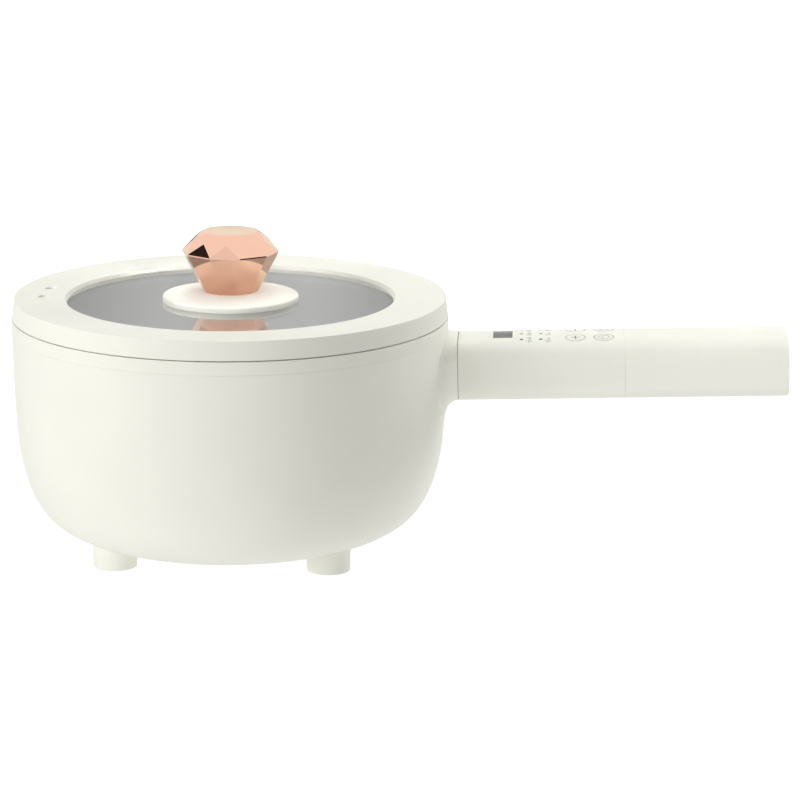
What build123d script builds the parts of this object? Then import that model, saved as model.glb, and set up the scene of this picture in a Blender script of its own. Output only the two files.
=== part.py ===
from build123d import *
import os
from math import atan2, copysign, cos, pi, radians, sin, sqrt, tan

# Electric cooking pot: a round bowl on four feet, a straight control handle, and a lift-off lid with a glass middle.
# Millimetres. +Z up, origin on the pot's axis in the plane the feet stand on, +X along the handle.

# ---------------------------------------------------------------- driving dimensions
Z_SEAM = 107.9            # height of the parting line between the lid and the body
SEAM_GAP = 0.4            # width of that line
R_BODY = 100.6            # body radius at the collar
Z_COLLAR = 101.6          # underside of the collar
SHELL_T = 2.4             # wall of the moulded shell
# outer profile of the bowl, radius and height, from the collar down to the flat underside
BOWL = [(100.5, 101.6), (100.34, 92.5), (100.08, 77.2), (99.48, 61.8), (98.41, 48.5), (96.14, 36.2),
        (92.61, 25.9), (87.58, 17.7), (80.15, 11.6), (68.85, 7.5), (60.0, 6.4)]
Z_FLOOR = 10.2            # inside floor of the shell
R_COVER = 60.0            # recess for the bottom cover

POT_R = 91.6              # inner radius of the stainless pot at its mouth
POT_R_LOW = 90.6          # inner radius where the bottom corner begins
POT_T = 0.9               # sheet thickness
POT_FLOOR = 28.0          # inside floor of the pot
POT_CORNER = 24.0         # inside corner radius of the pot
POT_FLANGE_R = 96.8
POT_FLANGE_TOP = 106.8

LID_R_LOW, LID_R_TOP = 100.25, 99.45
LID_TOP = 116.77
LID_RING_IN = 76.15
LID_RING_IN_TOP = 116.14
LID_RING_IN_LOW = 75.4     # the opening narrows towards the glass
GLASS_TOP, GLASS_T, GLASS_R = 114.25, 4.0, 82.0
VENT_R, VENT_AZ, VENT_DISH, VENT_HOLE = 86.1, (173.3, 186.2), 2.4, 0.9
VENT_SLOT = 1.6             # each vent dish is longer than wide by this much

KNOB_DISC_R, KNOB_DISC_EDGE, KNOB_Z0 = 31.4, 117.05, 118.8
KNOB_BASE_R, KNOB_GIRDLE_R, KNOB_TABLE_R = 12.75, 22.3, 13.0
KNOB_GIRDLE_Z, KNOB_TABLE_Z = 137.3, 146.7
KNOB_BAND = 0.56          # height of the narrow upright band around the widest part of the knob
KNOB_SIDES, KNOB_AZ = 10, -72.8

FOOT_RHO, FOOT_R, FOOT_AZ = 68.8, 10.05, (45, 135, 225, 315)
FOOT_BOTTOM, PAD_TOP, PAD_R = 0.15, 1.8, 8.0

HANDLE_A, HANDLE_B, HANDLE_N = 20.4, 14.4, 3.3    # half width, half height and squareness of the grip section
HANDLE_Z0, HANDLE_TILT = 81.735, 1.73             # axis height at the pot's axis, and upward tilt in degrees
S_STUB, S_HOUSING, S_SPLIT, S_END = 105.65, 105.85, 181.95, 256.3
HOUSING_T, GRIP_T = 2.2, 2.4
SPLIT_GAP, SPLIT_R = 0.03, 0.1                    # half gap and edge radius at the seam half-way along the handle

DISPLAY_S, DISPLAY_Y = (121.98, 130.74), 7.3
LED_S, LED_Y, LED_R = (135.0, 143.75), (-9.8, 0.0, 9.8), 0.8
BUTTON_S, BUTTON_Y, BUTTON_R, BUTTON_GAP = (159.67, 172.64), 7.8, 4.2, 0.4
BOARD_Z = 0.6             # underside of the control board above the handle's axis
BOARD_T = 1.6

os.makedirs("parts", exist_ok=True)


# ---------------------------------------------------------------- helpers
def profile(pts):
    """A closed outline in the XZ plane from (r, z) or (r, z, corner radius)."""
    n = len(pts)
    edges, first, last = [], None, None
    for i in range(n):
        p = pts[i]
        rad = p[2] if len(p) > 2 else 0.0
        if rad <= 0:
            a = b = m = (p[0], p[1])
        else:
            q, w = pts[i - 1], pts[(i + 1) % n]
            ux, uz = q[0] - p[0], q[1] - p[1]
            vx, vz = w[0] - p[0], w[1] - p[1]
            lu, lv = sqrt(ux * ux + uz * uz), sqrt(vx * vx + vz * vz)
            ux, uz, vx, vz = ux / lu, uz / lu, vx / lv, vz / lv
            half = 0.5 * atan2(abs(ux * vz - uz * vx), ux * vx + uz * vz)
            d = rad / tan(half)
            a, b = (p[0] + ux * d, p[1] + uz * d), (p[0] + vx * d, p[1] + vz * d)
            bx, bz = ux + vx, uz + vz
            lb = sqrt(bx * bx + bz * bz)
            k = rad / sin(half) - rad
            m = (p[0] + bx / lb * k, p[1] + bz / lb * k)
        if last is not None:
            edges.append(Line((last[0], 0, last[1]), (a[0], 0, a[1])))
        else:
            first = a
        if rad > 0:
            edges.append(ThreePointArc((a[0], 0, a[1]), (m[0], 0, m[1]), (b[0], 0, b[1])))
        last = b
    edges.append(Line((last[0], 0, last[1]), (first[0], 0, first[1])))
    return make_face(edges)


def ring(pts):
    return revolve(profile(pts), Axis.Z)


def cyl(x, y, z0, z1, r):
    return Pos(x, y, 0.5 * (z0 + z1)) * Cylinder(r, z1 - z0)


def block(x0, x1, y0, y1, z0, z1):
    return Pos(0.5 * (x0 + x1), 0.5 * (y0 + y1), 0.5 * (z0 + z1)) * Box(x1 - x0, y1 - y0, z1 - z0)


def polar(r, az):
    return r * cos(radians(az)), r * sin(radians(az))


def screw(point, into, head_r, head_h, shank_r, shank_l):
    """A pan-head screw with a cross recess: point is the middle of the head's outer face."""
    head = cyl(0, 0, 0, head_h, head_r)
    head = chamfer(head.edges().group_by(Axis.Z)[0], min(0.35, 0.3 * head_h))
    slot = 0.22 * head_r
    head = head - block(-0.62 * head_r, 0.62 * head_r, -slot, slot, -0.1, 0.55 * head_h)
    head = head - block(-slot, slot, -0.62 * head_r, 0.62 * head_r, -0.1, 0.55 * head_h)
    body = head + cyl(0, 0, head_h, head_h + shank_l, shank_r)
    return Plane(origin=point, z_dir=into).location * body


def save(name, *solids):
    flat = []
    for s in solids:
        flat.extend(s.solids())
    shape = flat[0] if len(flat) == 1 else Compound(children=flat)
    export_step(shape, f"parts/{name}.step")


# handle coordinates: x along the handle's axis from the pot's axis, y across, z up square to the axis
HANDLE = Pos(0, 0, HANDLE_Z0) * Rot(0, -HANDLE_TILT, 0)


def section(s, a, top, bottom, n=HANDLE_N):
    pts = []
    for k in range(40):
        t = 2 * pi * k / 40
        c, d = cos(t), sin(t)
        c = 0.0 if abs(c) < 1e-12 else c
        d = 0.0 if abs(d) < 1e-12 else d
        h = top if d >= 0 else bottom
        pts.append((s, a * copysign(abs(c) ** (2 / n), c), h * copysign(abs(d) ** (2 / n), d)))
    return make_face(Spline(*pts, periodic=True))


def grip(s0, s1, inset=0.0):
    return extrude(section(s0, HANDLE_A - inset, HANDLE_B - inset, HANDLE_B - inset), amount=s1 - s0, dir=(1, 0, 0))


# ---------------------------------------------------------------- bowl shell with handle stub
def xz(p):
    return (p[0], 0, p[1])


outer_curve = Spline(*[xz(p) for p in BOWL], tangents=[(-0.012, 0, -1), (-1, 0, -0.06)])
inner = []
for i in range(len(BOWL) - 2):
    p, q = BOWL[max(i - 1, 0)], BOWL[i + 1]
    dx, dz = q[0] - p[0], q[1] - p[1]
    ll = sqrt(dx * dx + dz * dz)
    inner.append((BOWL[i][0] + dz / ll * SHELL_T, BOWL[i][1] - dx / ll * SHELL_T))
inner[0] = (BOWL[0][0] - SHELL_T, BOWL[0][1])
inner.append((70.5, Z_FLOOR))
inner_curve = Spline(*[xz(p) for p in inner])

bowl_solid = revolve(make_face([
    outer_curve, Line(xz(BOWL[-1]), (0, 0, BOWL[-1][1])), Line((0, 0, BOWL[-1][1]), (0, 0, BOWL[0][1])),
    Line((0, 0, BOWL[0][1]), xz(BOWL[0]))]), Axis.Z)
bowl_inside = revolve(make_face([
    inner_curve, Line(xz(inner[-1]), (0, 0, Z_FLOOR)), Line((0, 0, Z_FLOOR), (0, 0, inner[0][1])),
    Line((0, 0, inner[0][1]), xz(inner[0]))]), Axis.Z)


def flare(s, run, rise):
    """Growth of the stub's section: a quarter ellipse that starts at the handle seam."""
    t = min(max((S_STUB - s) / run, 0.0), 0.985)
    return rise * (1 - sqrt(1 - t * t))


stub = loft([section(s, HANDLE_A + flare(s, 7.6, 5.0), HANDLE_B + flare(s, 6.6, 2.0), HANDLE_B + flare(s, 6.4, 8.0))
             for s in (95.0, 98.6, 99.4, 100.4, 101.6, 103.0, 104.4, S_STUB)])
shell = bowl_solid + HANDLE * stub - bowl_inside
shell = shell - cyl(0, 0, 5.0, 8.4, R_COVER) - cyl(0, 0, 8.0, Z_FLOOR + 1, 50)
shell = shell - HANDLE * (Rot(0, 90, 0) * cyl(0, 0, 90, 110, 5.0))
for y in (-11, 11):
    shell = shell - HANDLE * (Pos(0, y, 0) * Rot(0, 90, 0) * cyl(0, 0, 99.8, 108, 1.7))
for az in FOOT_AZ:
    x, y = polar(FOOT_RHO, az)
    shell = shell + (cyl(x, y, 9.0, 15.0, 4.0))
    shell = shell - cyl(x, y, 5.0, 13.6, 1.6)
COVER_SCREW_AZ = (0, 90, 180, 270)
for az in COVER_SCREW_AZ:
    x, y = polar(55, az)
    shell = shell + cyl(x, y, 9.0, 14.0, 3.2)
    shell = shell - cyl(x, y, 8.0, 13.4, 1.4)
save("outer_shell", shell)

# ---------------------------------------------------------------- collar, pot and seal
collar_top = Z_SEAM - SEAM_GAP / 2
save("top_collar", ring([
    (97.9, Z_COLLAR), (R_BODY, Z_COLLAR, 0.22), (R_BODY, collar_top, 0.2), (97.4, collar_top, 0.3), (97.4, 105.1),
    (94.0, 105.1), (94.0, 98.5), (97.9, 98.5)]))
save("pot_seal", ring([(94.2, 105.1), (97.2, 105.1), (97.2, 105.9), (94.2, 105.9)]))

pt, pf = POT_FLANGE_TOP, POT_FLOOR
save("inner_pot", ring([
    (0, pf), (POT_R_LOW, pf, POT_CORNER), (POT_R, pt, 1.3), (POT_FLANGE_R, pt, 0.4), (POT_FLANGE_R, pt - POT_T, 0.3),
    (POT_R + POT_T, pt - POT_T, 0.5), (POT_R_LOW + POT_T, pf - POT_T, POT_CORNER + POT_T), (0, pf - POT_T)]))

# ---------------------------------------------------------------- heater group under the pot
plate_top = POT_FLOOR - POT_T
plate_bottom = plate_top - 5.0
plate = ring([(6.6, plate_bottom), (58, plate_bottom, 1.5), (58, plate_top), (6.6, plate_top)])
plate = plate - Pos(0, 0, plate_bottom) * Torus(45, 3.3)
save("heating_plate", plate)
tube_face = Plane(origin=(45, 0, plate_bottom), z_dir=(0, 1, 0)) * Circle(3.2)
element = revolve(tube_face, Axis.Z, revolution_arc=316)
element = Rot(0, 0, 22) * element
save("heater_element", element)
terminals = []
for az in (24, -24):
    x, y = polar(45, az)
    terminals.append(cyl(x, y, 13.4, plate_bottom - 3.2, 2.6) + cyl(x, y, 11.4, 13.4, 1.2))
save("heater_terminals", *terminals)
reflector = ring([(9, 15.6), (59.2, 15.6), (60.5, 14.2), (60.5, Z_FLOOR), (61.1, Z_FLOOR), (61.1, 14.5), (59.5, 16.2), (9, 16.2)])
for az in (24, -24):
    x, y = polar(45, az)
    reflector = reflector - cyl(x, y, 15, 17, 4.0)
reflector = reflector - cyl(-26, 0, 15, 17, 9.2)
save("heat_reflector", reflector)
save("temperature_sensor", cyl(0, 0, 17.0, plate_top, 6.0) + cyl(0, 0, 14.0, 17.0, 7.6))
save("thermostat", cyl(-26, 0, 13.4, plate_bottom, 8.0) + block(-31, -21, -0.4, 0.4, 11.4, 13.4))
fuse = Pos(0, 30, 20.0) * Rot(0, 90, 0) * Cylinder(2.1, 18)
fuse = fuse + block(-3, 3, 26.2, 33.8, 20.0, plate_bottom)
save("thermal_fuse", fuse)


def wire(pts, r, bend):
    path = FilletPolyline(*pts, radius=bend)
    start = Vector(*pts[0])
    tangent = Vector(*pts[1]) - start
    return sweep(Plane(origin=start, z_dir=tangent) * Circle(r), path=path)


hz = HANDLE_Z0 + 99 * tan(radians(HANDLE_TILT)) - 1.6
save("wire_harness", wire([(63.5, 0, 12.6), (76, 0, 14.6), (91.6, 0, 34), (94.7, 0, 62), (95.0, 0, hz), (113.2, 0, hz + 0.5)], 1.5, 3.6))

# ---------------------------------------------------------------- underside
cover = cyl(0, 0, 6.4, 8.4, R_COVER - 0.25)
for k in range(20):
    slot = Pos(38, 0, 7.4) * Box(15, 2.2, 4) + cyl(30.5, 0, 5.4, 9.4, 1.1) + cyl(45.5, 0, 5.4, 9.4, 1.1)
    cover = cover - Rot(0, 0, 9 + 18 * k) * slot
cover_screws = []
for az in COVER_SCREW_AZ:
    x, y = polar(55, az)
    cover = cover - cyl(x, y, 6.0, 7.5, 2.9) - cyl(x, y, 7.0, 9.0, 1.5)
    cover_screws.append(screw((x, y, 6.4), (0, 0, 1), 2.6, 1.1, 1.3, 5.5))
save("bottom_cover", cover)
save("bottom_screws", *cover_screws)

feet, pads, foot_screws = [], [], []
for az in FOOT_AZ:
    x, y = polar(FOOT_RHO, az)
    f = ring([(0, FOOT_BOTTOM), (FOOT_R - 0.2, FOOT_BOTTOM, 0.4), (FOOT_R, 17.0), (0, 17.0)])
    f = Pos(x, y, 0) * f
    f = f - bowl_solid - cyl(x, y, 0, PAD_TOP, PAD_R + 0.2) - cyl(x, y, 1.0, 4.8, 3.4) - cyl(x, y, 3, 14, 1.6)
    feet.append(f)
    pads.append(Pos(x, y, 0) * ring([(0, 0), (PAD_R, 0, 0.4), (PAD_R, PAD_TOP), (0, PAD_TOP)]))
    foot_screws.append(screw((x, y, 2.6), (0, 0, 1), 3.0, 2.2, 1.5, 8.4))
save("feet", *feet)
save("foot_pads", *pads)
save("foot_screws", *foot_screws)

# ---------------------------------------------------------------- handle: bracket, housing, grip
bracket = grip(S_STUB, S_STUB + 3.0, HOUSING_T + 0.25)
bracket = bracket + block(S_STUB + 2.5, 121, -7, 7, -11.9, -9.2)
bracket = bracket - Rot(0, 90, 0) * cyl(0, 0, 100, 112, 6.0)
bolts = []
for y in (-11, 11):
    bracket = bracket - Pos(0, y, 0) * Rot(0, 90, 0) * cyl(0, 0, 100, 112, 1.8)
    bolts.append(HANDLE * screw((S_STUB + 6.0, y, 0), (-1, 0, 0), 3.2, 3.0, 1.6, 8.2))
bracket = bracket - cyl(115, 0, -14, -9.0, 1.35)
save("handle_bracket", HANDLE * bracket)
save("handle_bolts", *bolts)

full = grip(S_HOUSING, S_END)
housing = grip(S_HOUSING, S_SPLIT - SPLIT_GAP)
housing = fillet(housing.edges().group_by(Axis.X)[0], 0.25)
housing = fillet(housing.edges().group_by(Axis.X)[-1], SPLIT_R)
housing = housing - grip(S_HOUSING - 1, S_SPLIT + 1, HOUSING_T)
rails = block(113, 176, -18.6, -14.2, BOARD_Z - 2.0, BOARD_Z) + block(113, 176, 14.2, 18.6, BOARD_Z - 2.0, BOARD_Z)
housing = housing + rails
d0, d1 = DISPLAY_S
housing = housing - block(d0 - 0.08, d1 + 0.08, -DISPLAY_Y - 0.08, DISPLAY_Y + 0.08, 8, 20)
for s in LED_S:
    for y in LED_Y:
        housing = housing - cyl(s, y, 8, 20, LED_R + 0.05)
for s in BUTTON_S:
    for y in (-BUTTON_Y, BUTTON_Y):
        housing = housing - cyl(s, y, 6, 20, BUTTON_R + BUTTON_GAP)
housing = housing - cyl(115, 0, -20, -12.75, 2.8) - cyl(115, 0, -20, -9, 1.4)
save("handle_housing", HANDLE * housing)

rear = grip(S_SPLIT + SPLIT_GAP, S_END)
rear = fillet(rear.edges().group_by(Axis.X)[-1], 0.5)
rear = fillet(rear.edges().group_by(Axis.X)[0], SPLIT_R)
rear = rear - grip(S_SPLIT - 1, S_END - 2.4, GRIP_T)
SOCKET_Y, SOCKET_Z, SOCKET_S = 13.7, 9.7, 234.0
mouth = extrude(Plane(origin=(S_END - 6, 0, 0), x_dir=(0, 1, 0), z_dir=(1, 0, 0))
                * Polygon((-SOCKET_Y - 0.1, -SOCKET_Z - 0.1), (SOCKET_Y + 0.1, -SOCKET_Z - 0.1), (SOCKET_Y + 0.1, SOCKET_Z - 4),
                          (SOCKET_Y - 4, SOCKET_Z + 0.1), (-SOCKET_Y + 4, SOCKET_Z + 0.1), (-SOCKET_Y - 0.1, SOCKET_Z - 4), align=None), amount=10)
rear = rear - mouth
rear = rear - cyl(187, 0, -20, -12.75, 2.8) - cyl(187, 0, -20, -9, 1.4)
save("handle_grip", HANDLE * rear)

coupler = grip(178.9, 191.0, GRIP_T + 0.1) - grip(170, 195, GRIP_T + 2.0)
boss = cyl(187, 0, -11.6, -6.6, 3.0) & grip(178.9, 191.0, GRIP_T + 0.1)
coupler = coupler + boss - cyl(187, 0, -14, -6, 1.35)
save("handle_coupler", HANDLE * coupler)
save("handle_screws", HANDLE * screw((115, 0, -14.0), (0, 0, 1), 2.5, 1.25, 1.25, 3.4),
     HANDLE * screw((187, 0, -14.0), (0, 0, 1), 2.5, 1.25, 1.25, 6.0))

# ---------------------------------------------------------------- controls
board_top = BOARD_Z + BOARD_T
save("control_board", HANDLE * block(114, 176.5, -15.4, 15.4, BOARD_Z, board_top))
save("display_module", HANDLE * block(d0 - 0.9, d1 + 0.9, -8.2, 8.2, board_top, 11.2))
window = (block(d0, d1, -DISPLAY_Y, DISPLAY_Y, 11.2, 20) & full) + block(d0 - 0.8, d1 + 0.8, -8.0, 8.0, 11.2, 11.7)
save("display_window", HANDLE * window)
pipes = block(133.0, 145.8, -11.2, 11.2, 9.4, 10.6)
chips = []
for s in LED_S:
    for y in LED_Y:
        pipes = pipes + (cyl(s, y, 10.0, 20, LED_R) & full) + cyl(s, y, 3.4, 9.8, 1.0)
        chips.append(HANDLE * block(s - 1.0, s + 1.0, y - 0.65, y + 0.65, board_top, board_top + 0.8))
save("light_pipes", HANDLE * pipes)
save("led_chips", *chips)
switches = []
names = {(0, -1): "button_plus", (0, 1): "button_minus", (1, -1): "button_timer", (1, 1): "button_power"}
for (i, side), name in names.items():
    s, y = BUTTON_S[i], side * BUTTON_Y
    cap = cyl(s, y, 9.6, 20, BUTTON_R) & full
    cap = cap + cyl(s, y, 8.9, 10.0, 5.5) + cyl(s, y, 7.6, 9.2, 1.6)
    save(name, HANDLE * cap)
    switches.append(HANDLE * (block(s - 3, s + 3, y - 3, y + 3, board_top, board_top + 3.5) + cyl(s, y, board_top + 3.3, board_top + 4.4, 1.7)))
save("tact_switches", *switches)

# ---------------------------------------------------------------- power inlet at the end of the handle
outline = Polygon((-SOCKET_Y, -SOCKET_Z), (SOCKET_Y, -SOCKET_Z), (SOCKET_Y, SOCKET_Z - 4.1), (SOCKET_Y - 4.1, SOCKET_Z),
                  (-SOCKET_Y + 4.1, SOCKET_Z), (-SOCKET_Y, SOCKET_Z - 4.1), align=None)
w = 1.5
hole = Polygon((-SOCKET_Y + w, -SOCKET_Z + w), (SOCKET_Y - w, -SOCKET_Z + w), (SOCKET_Y - w, SOCKET_Z - 4.7),
               (SOCKET_Y - 4.7, SOCKET_Z - w), (-SOCKET_Y + 4.7, SOCKET_Z - w), (-SOCKET_Y + w, SOCKET_Z - 4.7), align=None)
across = dict(x_dir=(0, 1, 0), z_dir=(1, 0, 0))
socket = extrude(Plane(origin=(SOCKET_S, 0, 0), **across) * outline, amount=S_END - 0.4 - SOCKET_S)
socket = socket - extrude(Plane(origin=(SOCKET_S + 3, 0, 0), **across) * hole, amount=40)
pins = []
for y, z in ((-7, -2), (7, -2), (0, 2)):
    socket = socket - block(230, 245, y - 1.0, y + 1.0, z - 2.0, z + 2.0)
    pins.append(HANDLE * block(SOCKET_S - 4, SOCKET_S + 14.5, y - 1.0, y + 1.0, z - 2.0, z + 2.0))
save("inlet_socket", HANDLE * socket)
save("inlet_pins", *pins)
leads = []
for y, z in ((-7, -2), (7, -2), (0, 2)):
    leads.append(HANDLE * wire([(SOCKET_S - 4, y, z), (SOCKET_S - 8, y, z), (214, y * 0.9, -3.0 if z < 0 else -1.0), (194, y * 0.8, -2.2), (178.2, y * 0.75, -0.6)], 1.2, 2.5))
save("mains_leads", *leads)

# ---------------------------------------------------------------- lid
lid_low = Z_SEAM + SEAM_GAP / 2
lid_ring = ring([
    (LID_R_LOW, lid_low, 0.15), (LID_R_TOP, LID_TOP, 0.3), (LID_RING_IN, LID_RING_IN_TOP, 0.4), (LID_RING_IN_LOW, GLASS_TOP + 0.5),
    (82.3, GLASS_TOP + 0.5), (82.3, 110.4), (83.8, 110.4), (83.8, 114.5), (96.6, 114.5, 1.0), (97.9, lid_low)])
retainer = ring([(77.2, 109.0), (88.9, 109.0), (88.9, 103.0), (90.8, 103.0, 0.5), (90.8, 109.0), (97.0, 109.0), (97.0, 110.25), (77.2, 110.25)])
for az in VENT_AZ:
    x, y = polar(VENT_R, az)
    lid_ring = lid_ring - Pos(x, y, 115.5) * extrude(SlotCenterToCenter(VENT_SLOT, 2 * VENT_DISH, rotation=90), 3.5) - cyl(x, y, 113, 119, VENT_HOLE)
    retainer = retainer - cyl(x, y, 107, 112, 1.7)
lid_screws = []
for k in range(6):
    x, y = polar(86.5, 30 + 60 * k)
    lid_ring = lid_ring + cyl(x, y, 110.25, 114.8, 2.4) - cyl(x, y, 109, 114.2, 1.1)
    retainer = retainer - cyl(x, y, 108, 111, 1.2)
    lid_screws.append(screw((x, y, 107.6), (0, 0, 1), 2.1, 1.4, 1.0, 4.8))
save("lid_ring", lid_ring)
save("lid_retainer", retainer)
save("lid_screws", *lid_screws)
save("lid_gasket", ring([(91.0, 109.0), (91.0, 107.2, 0.4), (93.0, 107.2, 0.4), (94.4, 107.9), (96.4, 107.9, 0.4), (96.4, 109.0)]))
save("glass_gasket", ring([(LID_RING_IN_LOW - 0.3, GLASS_TOP), (82.1, GLASS_TOP), (82.1, GLASS_TOP + 0.5), (LID_RING_IN_LOW - 0.2, GLASS_TOP + 0.5, 0.15)]))
save("lid_glass", ring([(3.0, GLASS_TOP - GLASS_T), (GLASS_R, GLASS_TOP - GLASS_T, 0.5), (GLASS_R, GLASS_TOP, 0.5), (3.0, GLASS_TOP)]))

# ---------------------------------------------------------------- knob
disc_low = GLASS_TOP + 0.4
save("knob_base", ring([(2.4, disc_low), (29.7, disc_low), (29.7, GLASS_TOP + 0.02), (KNOB_DISC_R, GLASS_TOP + 0.02, 0.1), (KNOB_DISC_R - 0.1, KNOB_DISC_EDGE, 1.0),
                        (24.0, KNOB_DISC_EDGE + 0.95, 40.0), (13.2, KNOB_Z0), (2.4, KNOB_Z0)]))
step = 360 / KNOB_SIDES
half_cos = cos(radians(step / 2))
rise = 0.575
apex_r = (KNOB_GIRDLE_R - rise * (KNOB_GIRDLE_R - KNOB_TABLE_R)) / half_cos
band_low, band_high = KNOB_GIRDLE_Z - KNOB_BAND / 2, KNOB_GIRDLE_Z + KNOB_BAND / 2
apex_z = band_high + rise * (KNOB_TABLE_Z - band_high)


def at(r, az, z):
    x, y = polar(r, az)
    return (x, y, z)


faces = []
B = [at(KNOB_BASE_R, KNOB_AZ + step * k, KNOB_Z0) for k in range(KNOB_SIDES)]
L = [at(KNOB_GIRDLE_R, KNOB_AZ + step * k, band_low) for k in range(KNOB_SIDES)]
G = [at(KNOB_GIRDLE_R, KNOB_AZ + step * k, band_high) for k in range(KNOB_SIDES)]
T = [at(KNOB_TABLE_R, KNOB_AZ + step * k, KNOB_TABLE_Z) for k in range(KNOB_SIDES)]
A = [at(apex_r, KNOB_AZ + step * (k + 0.5), apex_z) for k in range(KNOB_SIDES)]


def facet(*pts):
    faces.append(make_face(Polyline(*pts, close=True)).faces()[0])


for k in range(KNOB_SIDES):
    j = (k + 1) % KNOB_SIDES
    facet(B[k], B[j], L[j], L[k])
    facet(L[k], L[j], G[j], G[k])
    facet(G[k], G[j], A[k])
    facet(T[k], A[k], T[j])
    facet(T[k], A[k - 1], G[k], A[k])
facet(*B)
facet(*T)
knob = Solid(Shell(faces))
knob = knob - cyl(0, 0, KNOB_Z0 - 1, 133.0, 2.1)
save("lid_knob", knob)
save("knob_washers", ring([(5.0, GLASS_TOP), (29.5, GLASS_TOP), (29.5, disc_low), (5.0, disc_low)]),
     ring([(2.4, 109.25), (16.0, 109.25, 0.3), (16.0, 110.25, 0.3), (2.4, 110.25)]))
save("knob_backing", ring([(2.4, 108.05), (15.0, 108.05, 0.3), (15.0, 109.25), (2.4, 109.25)]))
save("knob_screw", screw((0, 0, 105.6), (0, 0, 1), 4.2, 2.45, 2.0, 22.5))
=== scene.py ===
import math

import bmesh
import bpy
from mathutils import Matrix, Vector
from mathutils.bvhtree import BVHTree


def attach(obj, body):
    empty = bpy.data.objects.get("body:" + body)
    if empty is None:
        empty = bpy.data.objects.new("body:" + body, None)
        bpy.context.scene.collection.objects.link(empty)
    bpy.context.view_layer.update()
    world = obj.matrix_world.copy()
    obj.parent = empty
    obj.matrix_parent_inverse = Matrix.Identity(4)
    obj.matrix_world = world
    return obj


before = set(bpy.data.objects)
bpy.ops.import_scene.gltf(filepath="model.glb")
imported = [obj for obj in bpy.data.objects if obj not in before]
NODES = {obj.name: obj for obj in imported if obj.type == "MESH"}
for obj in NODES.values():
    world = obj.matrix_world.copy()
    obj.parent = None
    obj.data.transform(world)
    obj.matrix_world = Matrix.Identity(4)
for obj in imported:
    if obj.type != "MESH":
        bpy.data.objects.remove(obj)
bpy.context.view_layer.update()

scene = bpy.context.scene
scene.view_settings.view_transform = "Standard"
scene.view_settings.look = "None"

# ---------------------------------------------------------------- camera at the photograph's viewing angle
YAW, PITCH, ROLL = math.radians(2.581), math.radians(13.747), math.radians(0.319)
turn = Matrix.Rotation(YAW, 3, "Z")
flat_right = Vector((1, 0, 0))
flat_up = Vector((0, math.sin(PITCH), math.cos(PITCH)))
look = turn @ Vector((0, math.cos(PITCH), -math.sin(PITCH)))
right = turn @ (flat_right * math.cos(ROLL) + flat_up * math.sin(ROLL))
up = turn @ (flat_up * math.cos(ROLL) - flat_right * math.sin(ROLL))
eye = turn @ Vector((0.07843, -1.31981, 0.28202)) + Vector((0, 0, 0.1079))
camera_data = bpy.data.cameras.new("camera")
camera_data.sensor_fit = "HORIZONTAL"
camera_data.sensor_width = 36.0
camera_data.lens = 2917.267 / 800 * 36.0
camera_data.clip_start, camera_data.clip_end = 0.05, 60
camera = bpy.data.objects.new("camera", camera_data)
camera.matrix_world = Matrix((
    (right.x, up.x, -look.x, eye.x), (right.y, up.y, -look.y, eye.y), (right.z, up.z, -look.z, eye.z), (0, 0, 0, 1)))
scene.collection.objects.link(camera)
scene.camera = camera


# ---------------------------------------------------------------- material helpers
def material(name):
    m = bpy.data.materials.new(name)
    m.use_nodes = True
    nt = m.node_tree
    nt.nodes.clear()
    out = nt.nodes.new("ShaderNodeOutputMaterial")
    p = nt.nodes.new("ShaderNodeBsdfPrincipled")
    nt.links.new(p.outputs["BSDF"], out.inputs["Surface"])
    return m, nt, p


def place(nt):
    return nt.nodes.new("ShaderNodeTexCoord").outputs["Object"]


def noise(nt, vec, scale, detail=2.0, rough=0.5):
    n = nt.nodes.new("ShaderNodeTexNoise")
    n.inputs["Scale"].default_value = scale
    n.inputs["Detail"].default_value = detail
    n.inputs["Roughness"].default_value = rough
    nt.links.new(vec, n.inputs["Vector"])
    return n.outputs["Fac"]


def stretched(nt, vec, scale):
    n = nt.nodes.new("ShaderNodeMapping")
    n.inputs["Scale"].default_value = scale
    nt.links.new(vec, n.inputs["Vector"])
    return n.outputs["Vector"]


def ramp(nt, fac, *stops):
    n = nt.nodes.new("ShaderNodeValToRGB")
    e = n.color_ramp.elements
    while len(e) < len(stops):
        e.new(0.5)
    for k, (pos, col) in enumerate(stops):
        e[k].position = pos
        e[k].color = (*col, 1.0) if len(col) == 3 else col
    nt.links.new(fac, n.inputs["Fac"])
    return n.outputs["Color"]


def spread(nt, fac, low, high, start=0.3, stop=0.7):
    n = nt.nodes.new("ShaderNodeMapRange")
    n.inputs["From Min"].default_value = start
    n.inputs["From Max"].default_value = stop
    n.inputs["To Min"].default_value = low
    n.inputs["To Max"].default_value = high
    nt.links.new(fac, n.inputs["Value"])
    return n.outputs["Result"]


def bump(nt, height, distance, strength=1.0, under=None):
    n = nt.nodes.new("ShaderNodeBump")
    n.inputs["Strength"].default_value = strength
    n.inputs["Distance"].default_value = distance
    nt.links.new(height, n.inputs["Height"])
    if under is not None:
        nt.links.new(under, n.inputs["Normal"])
    return n.outputs["Normal"]


def maths(nt, op, a, b=None):
    n = nt.nodes.new("ShaderNodeMath")
    n.operation = op
    for k, v in enumerate((a, b)):
        if v is None:
            continue
        if isinstance(v, (int, float)):
            n.inputs[k].default_value = v
        else:
            nt.links.new(v, n.inputs[k])
    return n.outputs[0]


def tone(c, k):
    return tuple(min(1.0, x * k) for x in c)


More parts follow.
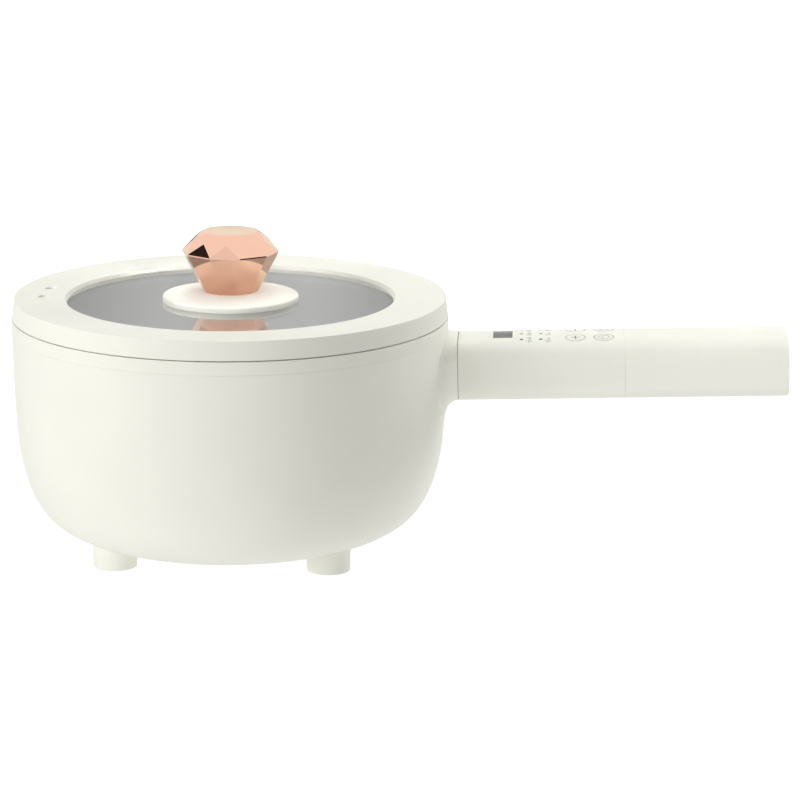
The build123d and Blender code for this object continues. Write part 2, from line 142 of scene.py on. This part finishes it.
def moulded(name, colour, rough=(0.34, 0.42), grain=2600.0, depth=0.000012, vary=0.012, patch=28.0, shine=0.5):
    """Moulded plastic or rubber: faint flow-mark colour drift, uneven gloss and a fine tool texture."""
    m, nt, p = material(name)
    v = place(nt)
    drift = noise(nt, v, patch, 3.0, 0.55)
    nt.links.new(ramp(nt, drift, (0.32, tone(colour, 1 - vary)), (0.68, tone(colour, 1 + vary))), p.inputs["Base Color"])
    nt.links.new(spread(nt, noise(nt, v, patch * 2.2, 4.0, 0.6), *rough), p.inputs["Roughness"])
    fine = bump(nt, noise(nt, v, grain, 2.0, 0.5), depth)
    nt.links.new(bump(nt, noise(nt, v, 160.0, 1.0), depth * 0.8, under=fine), p.inputs["Normal"])
    p.inputs["Specular IOR Level"].default_value = shine
    return m


def metal(name, colour, rough=(0.2, 0.3), lay=(60, 60, 2600), depth=0.000015, vary=0.04):
    """Metal with a directional finish: noise stretched along the lay."""
    m, nt, p = material(name)
    v = place(nt)
    p.inputs["Metallic"].default_value = 1.0
    lines = noise(nt, stretched(nt, v, lay), 1.0, 4.0, 0.6)
    nt.links.new(ramp(nt, lines, (0.3, tone(colour, 1 - vary)), (0.7, tone(colour, 1 + vary))), p.inputs["Base Color"])
    nt.links.new(spread(nt, lines, *rough), p.inputs["Roughness"])
    nt.links.new(bump(nt, lines, depth), p.inputs["Normal"])
    return m


def spun(name, colour, rough=(0.42, 0.5), pitch=1400.0, depth=0.000004, satin=0.3):
    """Spun stainless sheet: fine rings around the pot's axis on the wall and on the floor."""
    m, nt, p = material(name)
    v = place(nt)
    p.inputs["Metallic"].default_value = satin
    s = nt.nodes.new("ShaderNodeSeparateXYZ")
    nt.links.new(v, s.inputs[0])
    r = maths(nt, "SQRT", maths(nt, "ADD", maths(nt, "MULTIPLY", s.outputs[0], s.outputs[0]), maths(nt, "MULTIPLY", s.outputs[1], s.outputs[1])))
    c = nt.nodes.new("ShaderNodeCombineXYZ")
    nt.links.new(maths(nt, "MULTIPLY", r, pitch), c.inputs[0])
    nt.links.new(maths(nt, "MULTIPLY", s.outputs[2], pitch), c.inputs[1])
    nt.links.new(maths(nt, "MULTIPLY", maths(nt, "ARCTAN2", s.outputs[1], s.outputs[0]), 2.0), c.inputs[2])
    lines = noise(nt, c.outputs[0], 1.0, 3.0, 0.6)
    broad = noise(nt, v, 22.0, 2.0)
    nt.links.new(ramp(nt, lines, (0.28, tone(colour, 0.97)), (0.72, tone(colour, 1.03))), p.inputs["Base Color"])
    nt.links.new(spread(nt, maths(nt, "ADD", maths(nt, "MULTIPLY", lines, 0.7), maths(nt, "MULTIPLY", broad, 0.3)), *rough), p.inputs["Roughness"])
    nt.links.new(bump(nt, lines, depth), p.inputs["Normal"])
    return m


IVORY = (0.90, 0.90, 0.81)
ivory = moulded("ivory_plastic", IVORY, rough=(0.44, 0.52), shine=0.4)
ivory_button = moulded("ivory_button", tone(IVORY, 0.99), rough=(0.42, 0.5), shine=0.4)
silicone = moulded("silicone", (0.86, 0.86, 0.80), rough=(0.42, 0.55), grain=1500, depth=0.00002, vary=0.02)
pad_rubber = moulded("pad_rubber", (0.42, 0.42, 0.405), rough=(0.55, 0.72), grain=3500, depth=0.00004, vary=0.05)
black_plastic = moulded("black_plastic", (0.028, 0.028, 0.03), rough=(0.38, 0.5), grain=3000, depth=0.00003, vary=0.12)
wire_sleeve = moulded("wire_sleeve", (0.62, 0.61, 0.57), rough=(0.45, 0.6), vary=0.05)
ink = moulded("print_ink", (0.10, 0.10, 0.098), rough=(0.5, 0.62), grain=6000, depth=0.000004, vary=0.06)
pale_ink = moulded("print_ink_pale", (0.33, 0.33, 0.32), rough=(0.5, 0.62), grain=6000, depth=0.000004, vary=0.06)
stainless = spun("satin_stainless", (0.75, 0.75, 0.735))
sheet = metal("sheet_steel", (0.62, 0.615, 0.60))
screw_steel = metal("screw_steel", (0.58, 0.575, 0.56), lay=(900, 900, 900), rough=(0.24, 0.36))
cast = metal("cast_aluminium", (0.66, 0.66, 0.66), lay=(700, 700, 700), rough=(0.4, 0.55), depth=0.00006)
blade = metal("blade_brass_plated", (0.72, 0.70, 0.66), lay=(40, 2600, 2600), rough=(0.2, 0.3))
rose = metal("rose_gold_plate", (0.98, 0.597, 0.456), lay=(140, 140, 140), rough=(0.04, 0.07), depth=0.000001, vary=0.012)
rose.node_tree.nodes["Principled BSDF"].inputs["Specular Tint"].default_value = (0.95, 1.0, 0.90, 1)


def make_glass():
    m, nt, p = material("lid_glass")
    p.inputs["Coat Weight"].default_value = 1.0
    p.inputs["Coat Roughness"].default_value = 0.02
    v = place(nt)
    p.inputs["Transmission Weight"].default_value = 1.0
    p.inputs["IOR"].default_value = 1.5
    p.inputs["Roughness"].default_value = 0.0
    nt.links.new(ramp(nt, noise(nt, v, 14.0, 2.0), (0.3, (0.95, 0.955, 0.95)), (0.7, (0.965, 0.968, 0.963))), p.inputs["Base Color"])
    return m


def make_display():
    m, nt, p = material("display_window")
    v = place(nt)
    grid = noise(nt, stretched(nt, v, (900, 900, 900)), 1.0, 1.0)
    nt.links.new(ramp(nt, grid, (0.35, (0.070, 0.067, 0.056)), (0.65, (0.088, 0.084, 0.071))), p.inputs["Base Color"])
    nt.links.new(spread(nt, noise(nt, v, 120.0, 3.0), 0.10, 0.18), p.inputs["Roughness"])
    return m


def make_board():
    m, nt, p = material("circuit_board")
    v = place(nt)
    b = nt.nodes.new("ShaderNodeTexBrick")
    b.inputs["Scale"].default_value = 260.0
    b.inputs["Mortar Size"].default_value = 0.03
    b.inputs["Color1"].default_value = (0.018, 0.10, 0.045, 1)
    b.inputs["Color2"].default_value = (0.022, 0.13, 0.06, 1)
    b.inputs["Mortar"].default_value = (0.05, 0.22, 0.10, 1)
    nt.links.new(v, b.inputs["Vector"])
    nt.links.new(b.outputs["Color"], p.inputs["Base Color"])
    nt.links.new(spread(nt, noise(nt, v, 300.0), 0.3, 0.45), p.inputs["Roughness"])
    nt.links.new(bump(nt, b.outputs["Fac"], 0.00003), p.inputs["Normal"])
    return m


def make_pipe():
    m, nt, p = material("light_pipe")
    v = place(nt)
    nt.links.new(ramp(nt, noise(nt, v, 400.0), (0.3, (0.028, 0.028, 0.028)), (0.7, (0.04, 0.04, 0.039))), p.inputs["Base Color"])
    nt.links.new(spread(nt, noise(nt, v, 900.0), 0.14, 0.22), p.inputs["Roughness"])
    return m


glass, display, board, pipe = make_glass(), make_display(), make_board(), make_pipe()

LOOKS = {
    ivory: ["outer_shell", "top_collar", "lid_ring", "knob_base", "handle_housing", "handle_grip", "feet", "bottom_cover", "lid_retainer"],
    ivory_button: ["button_plus", "button_minus", "button_timer", "button_power"],
    rose: ["lid_knob"], glass: ["lid_glass"], stainless: ["inner_pot"],
    sheet: ["heat_reflector", "knob_backing", "handle_bracket", "heater_element"],
    screw_steel: ["bottom_screws", "foot_screws", "handle_bolts", "handle_screws", "lid_screws", "knob_screw"],
    blade: ["inlet_pins"], silicone: ["pot_seal", "lid_gasket", "glass_gasket", "knob_washers"], pad_rubber: ["foot_pads"],
    cast: ["heating_plate"], display: ["display_window"], pipe: ["light_pipes"], board: ["control_board", "led_chips"],
    black_plastic: ["inlet_socket", "tact_switches", "display_module", "thermostat", "temperature_sensor", "heater_terminals",
                    "handle_coupler", "thermal_fuse"],
    wire_sleeve: ["wire_harness", "mains_leads"],
}
for look_of, names in LOOKS.items():
    for n in names:
        o = NODES[n]
        o.data.materials.clear()
        o.data.materials.append(look_of)
NODES["lid_glass"].visible_shadow = False

# ---------------------------------------------------------------- printed symbols on the handle
TILT = math.radians(1.73)       # slope of the handle's axis, which crosses the pot's axis at this height
along = Vector((math.cos(TILT), 0, math.sin(TILT)))
outward = Vector((-math.sin(TILT), 0, math.cos(TILT)))
axis_foot = Vector((0, 0, 0.081735))
LINE = 0.28                     # stroke width, mm


def printed(name, body, node, s, y, strokes, paint):
    """Closed ink strips on a curved face, centred s mm along the handle and y mm across it. The symbols are read with the pot
    ahead: a point's first number runs across the handle to the right, its second towards the pot, in mm."""
    host = NODES[node]
    tree = BVHTree.FromPolygons([host.matrix_world @ v.co for v in host.data.vertices], [f.vertices[:] for f in host.data.polygons])

    def touch(q):
        start = axis_foot + along * ((s - q.y) * 0.001) + Vector((0, (y + q.x) * 0.001, 0)) + outward * 0.05
        hit, normal, _, _ = tree.ray_cast(start, -outward)
        if normal.dot(outward) < 0:
            normal = -normal
        return hit + normal * 0.00004, hit - normal * 0.00005

    bm = bmesh.new()
    for stroke in strokes:
        corners, closed = [Vector(q) for q in stroke["at"]], stroke.get("closed", False)
        half = stroke.get("line", LINE) / 2
        path = []
        for k in range(len(corners) if closed else len(corners) - 1):
            q0, q1 = corners[k], corners[(k + 1) % len(corners)]
            parts = max(1, math.ceil((q1 - q0).length / 0.3))
            path += [q0.lerp(q1, j / parts) for j in range(parts)]
        if not closed:
            path.append(corners[-1])
        rings = []
        for k, q in enumerate(path):
            before = path[k - 1] if closed or k else q
            after = path[(k + 1) % len(path)] if closed or k < len(path) - 1 else q
            step = (after - before).normalized()
            side = Vector((-step.y, step.x)) * half
            (left, left_low), (right_, right_low) = touch(q + side), touch(q - side)
            rings.append([bm.verts.new(v) for v in (left, right_, right_low, left_low)])
        for k in range(len(path) if closed else len(path) - 1):
            r0, r1 = rings[k], rings[(k + 1) % len(path)]
            for j in range(4):
                bm.faces.new((r0[j], r0[(j + 1) % 4], r1[(j + 1) % 4], r1[j]))
        if not closed:
            bm.faces.new(rings[0][::-1])
            bm.faces.new(rings[-1])
    bmesh.ops.recalc_face_normals(bm, faces=bm.faces)
    mesh = bpy.data.meshes.new(name)
    bm.to_mesh(mesh)
    bm.free()
    mesh.materials.append(paint)
    o = bpy.data.objects.new(name, mesh)
    scene.collection.objects.link(o)
    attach(o, body)


def arc(r, start, stop, x=0.0, y=0.0, parts=20):
    return [(x + r * math.cos(math.radians(start + (stop - start) * k / parts)), y + r * math.sin(math.radians(start + (stop - start) * k / parts)))
            for k in range(parts + 1)]


def bar(x0, y0, x1, y1, line=LINE):
    return {"at": [(x0, y0), (x1, y1)], "line": line}


def ringlet(r, x=0.0, y=0.0, line=LINE):
    return {"at": arc(r, 0, 342, x, y, 19), "closed": True, "line": line}


NEAR, FAR = -7.8, 7.8           # across the handle
FIRST, SECOND = 159.67, 172.64  # along it
printed("print_plus", "button_plus", "button_plus", FIRST, NEAR, [bar(-2.3, 0, 2.3, 0, 0.5), bar(0, 0.3, 0, 2.3, 0.42), bar(0, -0.3, 0, -2.3, 0.42)], ink)
printed("print_minus", "button_minus", "button_minus", FIRST, FAR, [bar(-2.3, 0, 2.3, 0, 0.5)], ink)
printed("print_timer", "button_timer", "button_timer", SECOND, NEAR, [ringlet(2.5), bar(0, 0.16, 0, 1.7), bar(0.16, 0, 1.3, 0)], pale_ink)
printed("print_power", "button_power", "button_power", SECOND, FAR, [{"at": arc(2.2, 130, 410)}, bar(0, 0.5, 0, 2.6)], pale_ink)

for name, s, y in (("plus", FIRST, NEAR), ("minus", FIRST, FAR), ("timer", SECOND, NEAR), ("power", SECOND, FAR)):
    printed("print_ring_" + name, "pot", "handle_housing", s, y, [ringlet(4.72, line=0.13)], pale_ink)

bowl = [{"at": [(-1.25, 0.0), (1.25, 0.0), (0.95, -0.75), (0.5, -1.15), (-0.5, -1.15), (-0.95, -0.75)], "closed": True}]


def steam(x):
    return {"at": [(x, 0.4), (x + 0.16, 0.65), (x - 0.08, 0.95), (x + 0.08, 1.3)], "line": 0.24}


drop = [{"at": [(0, 1.3), (0.55, 0.35), (0.8, -0.3), (0.55, -0.9), (0, -1.15), (-0.55, -0.9), (-0.8, -0.3), (-0.55, 0.35)], "closed": True}]
flame = [{"at": [(0.1, 1.3), (0.25, 0.6), (0.75, 0.1), (0.8, -0.5), (0.4, -1.1), (-0.4, -1.1), (-0.8, -0.5), (-0.65, 0.2), (-0.3, 0.0), (-0.15, 0.7)], "closed": True}]
leaf = [{"at": [(-0.9, -1.0), (-0.85, 0.1), (-0.2, 0.85), (0.95, 1.15), (0.75, 0.0), (0.1, -0.75)], "closed": True}, bar(-0.6, -0.7, 0.5, 0.7, 0.2)]
sun = [ringlet(0.55)] + [bar(0.85 * math.cos(k * math.pi / 3), 0.85 * math.sin(k * math.pi / 3), 1.25 * math.cos(k * math.pi / 3), 1.25 * math.sin(k * math.pi / 3), 0.24)
                         for k in range(6)]
waves = [{"at": [(-1.2, v), (-0.6, v + 0.35), (0.0, v), (0.6, v - 0.35), (1.2, v)]} for v in (-0.8, 0.0, 0.8)]


def steps(count):
    return [bar(0.9 * k - 0.9, -1.15, 0.9 * k - 0.9, -0.2 + 0.6 * k, 0.42) for k in range(count)]


def side_by_side(left, right_):
    moved = []
    for shape, shift in ((left, -1.65), (right_, 1.65)):
        for stroke in shape:
            moved.append({**stroke, "at": [(q[0] + shift, q[1]) for q in stroke["at"]]})
    return moved


PROGRAMS = {  # along the handle, across it
    "print_program_1": (138.25, -10.1, bowl + [steam(0.0)], steps(3)),
    "print_program_2": (147.0, -10.1, bowl + [steam(-0.5), steam(0.5)], steps(2)),
    "print_program_3": (138.25, -0.5, flame, steps(3)),
    "print_program_4": (147.0, -0.5, drop, steps(2)),
    "print_program_5": (138.25, 9.1, leaf, steps(1)),
    "print_program_6": (147.0, 9.1, sun, waves),
}
for name, (s, y, left, right_) in PROGRAMS.items():
    printed(name, "pot", "handle_housing", s, y, side_by_side(left, right_), pale_ink)

# ---------------------------------------------------------------- floor and light
BACKDROP_GLOW = (0.86, 1.0)     # of the floor that the camera sees: under the pot, and from one metre away outwards
BOUNCE_GLOW = 0.84              # of the floor that lights the pot from below
POT, GRIP, DISC, RECESS = (0.04, 0.0, 0.08), (0.27, 0.0, 0.09), (0.0, -0.004, 0.118), (0.0, 0.0755, 0.1155)
SOFTBOXES = {  # watts, azimuth and elevation in degrees, distance, width and height in metres, beam in degrees, aim
    "key_left": (7.5, -139, 15, 1.7, 0.7, 0.7, 180, POT),
    "key_side": (4.0, -154, 15, 1.7, 0.7, 0.7, 180, POT),
    "key_high": (3.2, -124, 42, 1.7, 0.7, 0.7, 180, POT),
    "fill_front": (3.9, -94, 15, 1.7, 0.7, 0.7, 180, POT),
    "overhead": (4.1, -84, 88, 2.2, 0.5, 0.5, 180, POT),
    "overhead_left": (8.0, -174, 65, 2.0, 0.5, 0.5, 180, POT),
    "overhead_back": (9.8, 96, 65, 2.0, 0.5, 0.5, 180, POT),
    "rim_low": (7.9, 31, 15, 1.7, 0.7, 0.7, 180, POT),
    "rim_high": (8.2, 46, 40, 1.7, 0.7, 0.7, 180, POT),
    "fill_grip": (0.045, -30, 30, 1.2, 0.2, 0.2, 14, GRIP),
    "fill_disc": (0.0074, -78, 50, 0.8, 0.08, 0.08, 4, DISC),
    "fill_recess": (0.0042, -84, 9, 1.2, 0.17, 0.012, 1.5, RECESS),
}


def pale_floor(name, z, tint, glow):
    m, nt, p = material(name)
    v = place(nt)
    nt.links.new(ramp(nt, noise(nt, v, 3.0, 2.0), (0.3, (tint, tint, tint)), (0.7, (tint * 1.04, tint * 1.04, tint * 1.04))), p.inputs["Base Color"])
    p.inputs["Roughness"].default_value = 0.9
    p.inputs["Specular IOR Level"].default_value = 0.0
    p.inputs["Emission Color"].default_value = (1, 1, 1, 1)
    if isinstance(glow, tuple):
        n = nt.nodes.new("ShaderNodeVectorMath")
        n.operation = "LENGTH"
        nt.links.new(v, n.inputs[0])
        nt.links.new(spread(nt, n.outputs["Value"], glow[0], glow[1], 0.2, 1.0), p.inputs["Emission Strength"])
    else:
        p.inputs["Emission Strength"].default_value = glow
    bm = bmesh.new()
    bmesh.ops.create_grid(bm, x_segments=8, y_segments=8, size=9.0)
    bmesh.ops.translate(bm, verts=bm.verts, vec=(0, 0, z))
    mesh = bpy.data.meshes.new(name)
    bm.to_mesh(mesh)
    bm.free()
    mesh.materials.append(m)
    o = bpy.data.objects.new(name, mesh)
    scene.collection.objects.link(o)
    return o


seen = pale_floor("floor", 0.0, 0.25, BACKDROP_GLOW)
seen.visible_diffuse = seen.visible_glossy = seen.visible_transmission = False
bounce = pale_floor("floor_bounce", -0.001, 0.06, BOUNCE_GLOW)
bounce.visible_camera = False

for name, (power, azimuth, elevation, distance, width, height, beam, aim) in SOFTBOXES.items():
    a, e = math.radians(azimuth), math.radians(elevation)
    d = bpy.data.lights.new(name, "AREA")
    d.shape = "RECTANGLE"
    d.size, d.size_y = width, height
    d.energy = power
    d.spread = math.radians(beam)
    o = bpy.data.objects.new(name, d)
    o.location = Vector(aim) + distance * Vector((math.cos(e) * math.cos(a), math.cos(e) * math.sin(a), math.sin(e)))
    o.rotation_mode = "QUATERNION"
    o.rotation_quaternion = (Vector(aim) - o.location).to_track_quat("-Z", "Y")
    o.visible_glossy = o.visible_camera = o.visible_transmission = False
    scene.collection.objects.link(o)

# cards around the set, which only show as reflections
def card(name, outline, glow, fade=None):
    """fade is a place across the set, and the card's levels at distances from there."""
    m, nt, p = material(name)
    v = place(nt)
    if fade:
        s = nt.nodes.new("ShaderNodeSeparateXYZ")
        nt.links.new(v, s.inputs[0])
        away = spread(nt, maths(nt, "ABSOLUTE", maths(nt, "SUBTRACT", s.outputs[0], fade[0])), 0.0, 1.0, 0.0, fade[-1][0])
        nt.links.new(ramp(nt, away, *[(q / fade[-1][0], (level, level, level)) for q, level in fade[1:]]), p.inputs["Emission Color"])
        p.inputs["Emission Strength"].default_value = glow
    else:
        nt.links.new(spread(nt, noise(nt, v, 6.0, 1.0), 0.97 * glow, 1.03 * glow), p.inputs["Emission Strength"])
        p.inputs["Emission Color"].default_value = (1, 1, 1, 1)
    p.inputs["Base Color"].default_value = (0.01, 0.01, 0.01, 1)
    p.inputs["Specular IOR Level"].default_value = 0.0
    mesh = bpy.data.meshes.new(name)
    mesh.from_pydata([tuple(v) for v in outline], [], [list(range(len(outline)))])
    mesh.materials.append(m)
    o = bpy.data.objects.new(name, mesh)
    scene.collection.objects.link(o)
    o.visible_camera = o.visible_diffuse = o.visible_transmission = o.visible_shadow = False


def facing_knob(azimuth, elevation, half_width, half_height, distance=0.6):
    """Corners of a card seen from the knob in that direction, its half sizes in degrees."""
    a, e = math.radians(azimuth), math.radians(elevation)
    to = Vector((math.cos(e) * math.cos(a), math.cos(e) * math.sin(a), math.sin(e)))
    side = to.cross(Vector((0, 0, 1))).normalized()
    rise = side.cross(to)
    w, h = math.tan(math.radians(half_width)), math.tan(math.radians(half_height))
    return [Vector((0, 0, 0.14)) + distance * (to + side * w * i + rise * h * j) for i, j in ((-1, -1), (1, -1), (1, 1), (-1, 1))]


card("card_left", facing_knob(177.8, 34.9, 12, 12), 0.015)
card("card_right", facing_knob(-25.1, -11.0, 6, 4.5), 0.015)
card("card_front", facing_knob(-102.4, 54.1, 10, 10), 0.84)
card("card_rear", facing_knob(97.0, -7.3, 8, 3.3), 0.015)
# behind the lid, where the glass mirrors the backdrop
FLAG_Y, GLASS_Z, OPENING_R = 0.5, 0.11425, 0.0775
flag = []
for k in range(72):
    at_glass = Vector((OPENING_R * math.cos(k * math.pi / 36), OPENING_R * math.sin(k * math.pi / 36), GLASS_Z))
    ray = at_glass - eye
    ray.z = -ray.z
    flag.append(at_glass + ray * ((FLAG_Y - at_glass.y) / ray.y))
# a notch, so that the flat top of the knob mirrors the pale surround
NOTCH_X, NOTCH_Z, NOTCH_W = -0.0502, 0.2345, 0.0212
flag = [q for q in flag if q.z < NOTCH_Z or abs(q.x - NOTCH_X) > NOTCH_W]
at = next(k for k, q in enumerate(flag) if q.z > NOTCH_Z and q.x > NOTCH_X)
flag[at:at] = [Vector((NOTCH_X + i * NOTCH_W, FLAG_Y, z)) for i, z in ((-1, 0.2425), (-1, NOTCH_Z), (1, NOTCH_Z), (1, 0.2425))]
FLAG_FADE = (-0.048, (0.0, 0.45), (0.047, 0.45), (0.112, 0.27), (0.14, 0.27), (0.5, 0.965))
card("card_back", flag, 1.0, FLAG_FADE)
for name, x0, x1 in (("card_wing_left", -0.54, -0.12), ("card_wing_right", 0.02, 0.45)):
    card(name, [Vector((x, FLAG_Y + 0.001, z)) for x, z in ((x0, 0.207), (x1, 0.207), (x1, 0.233), (x0, 0.233))], 1.0, FLAG_FADE)

world = bpy.data.worlds.new("studio")
scene.world = world
world.use_nodes = True
world.node_tree.nodes["Background"].inputs["Color"].default_value = (1, 1, 1, 1)
world.node_tree.nodes["Background"].inputs["Strength"].default_value = 0.965
world.cycles_visibility.diffuse = False
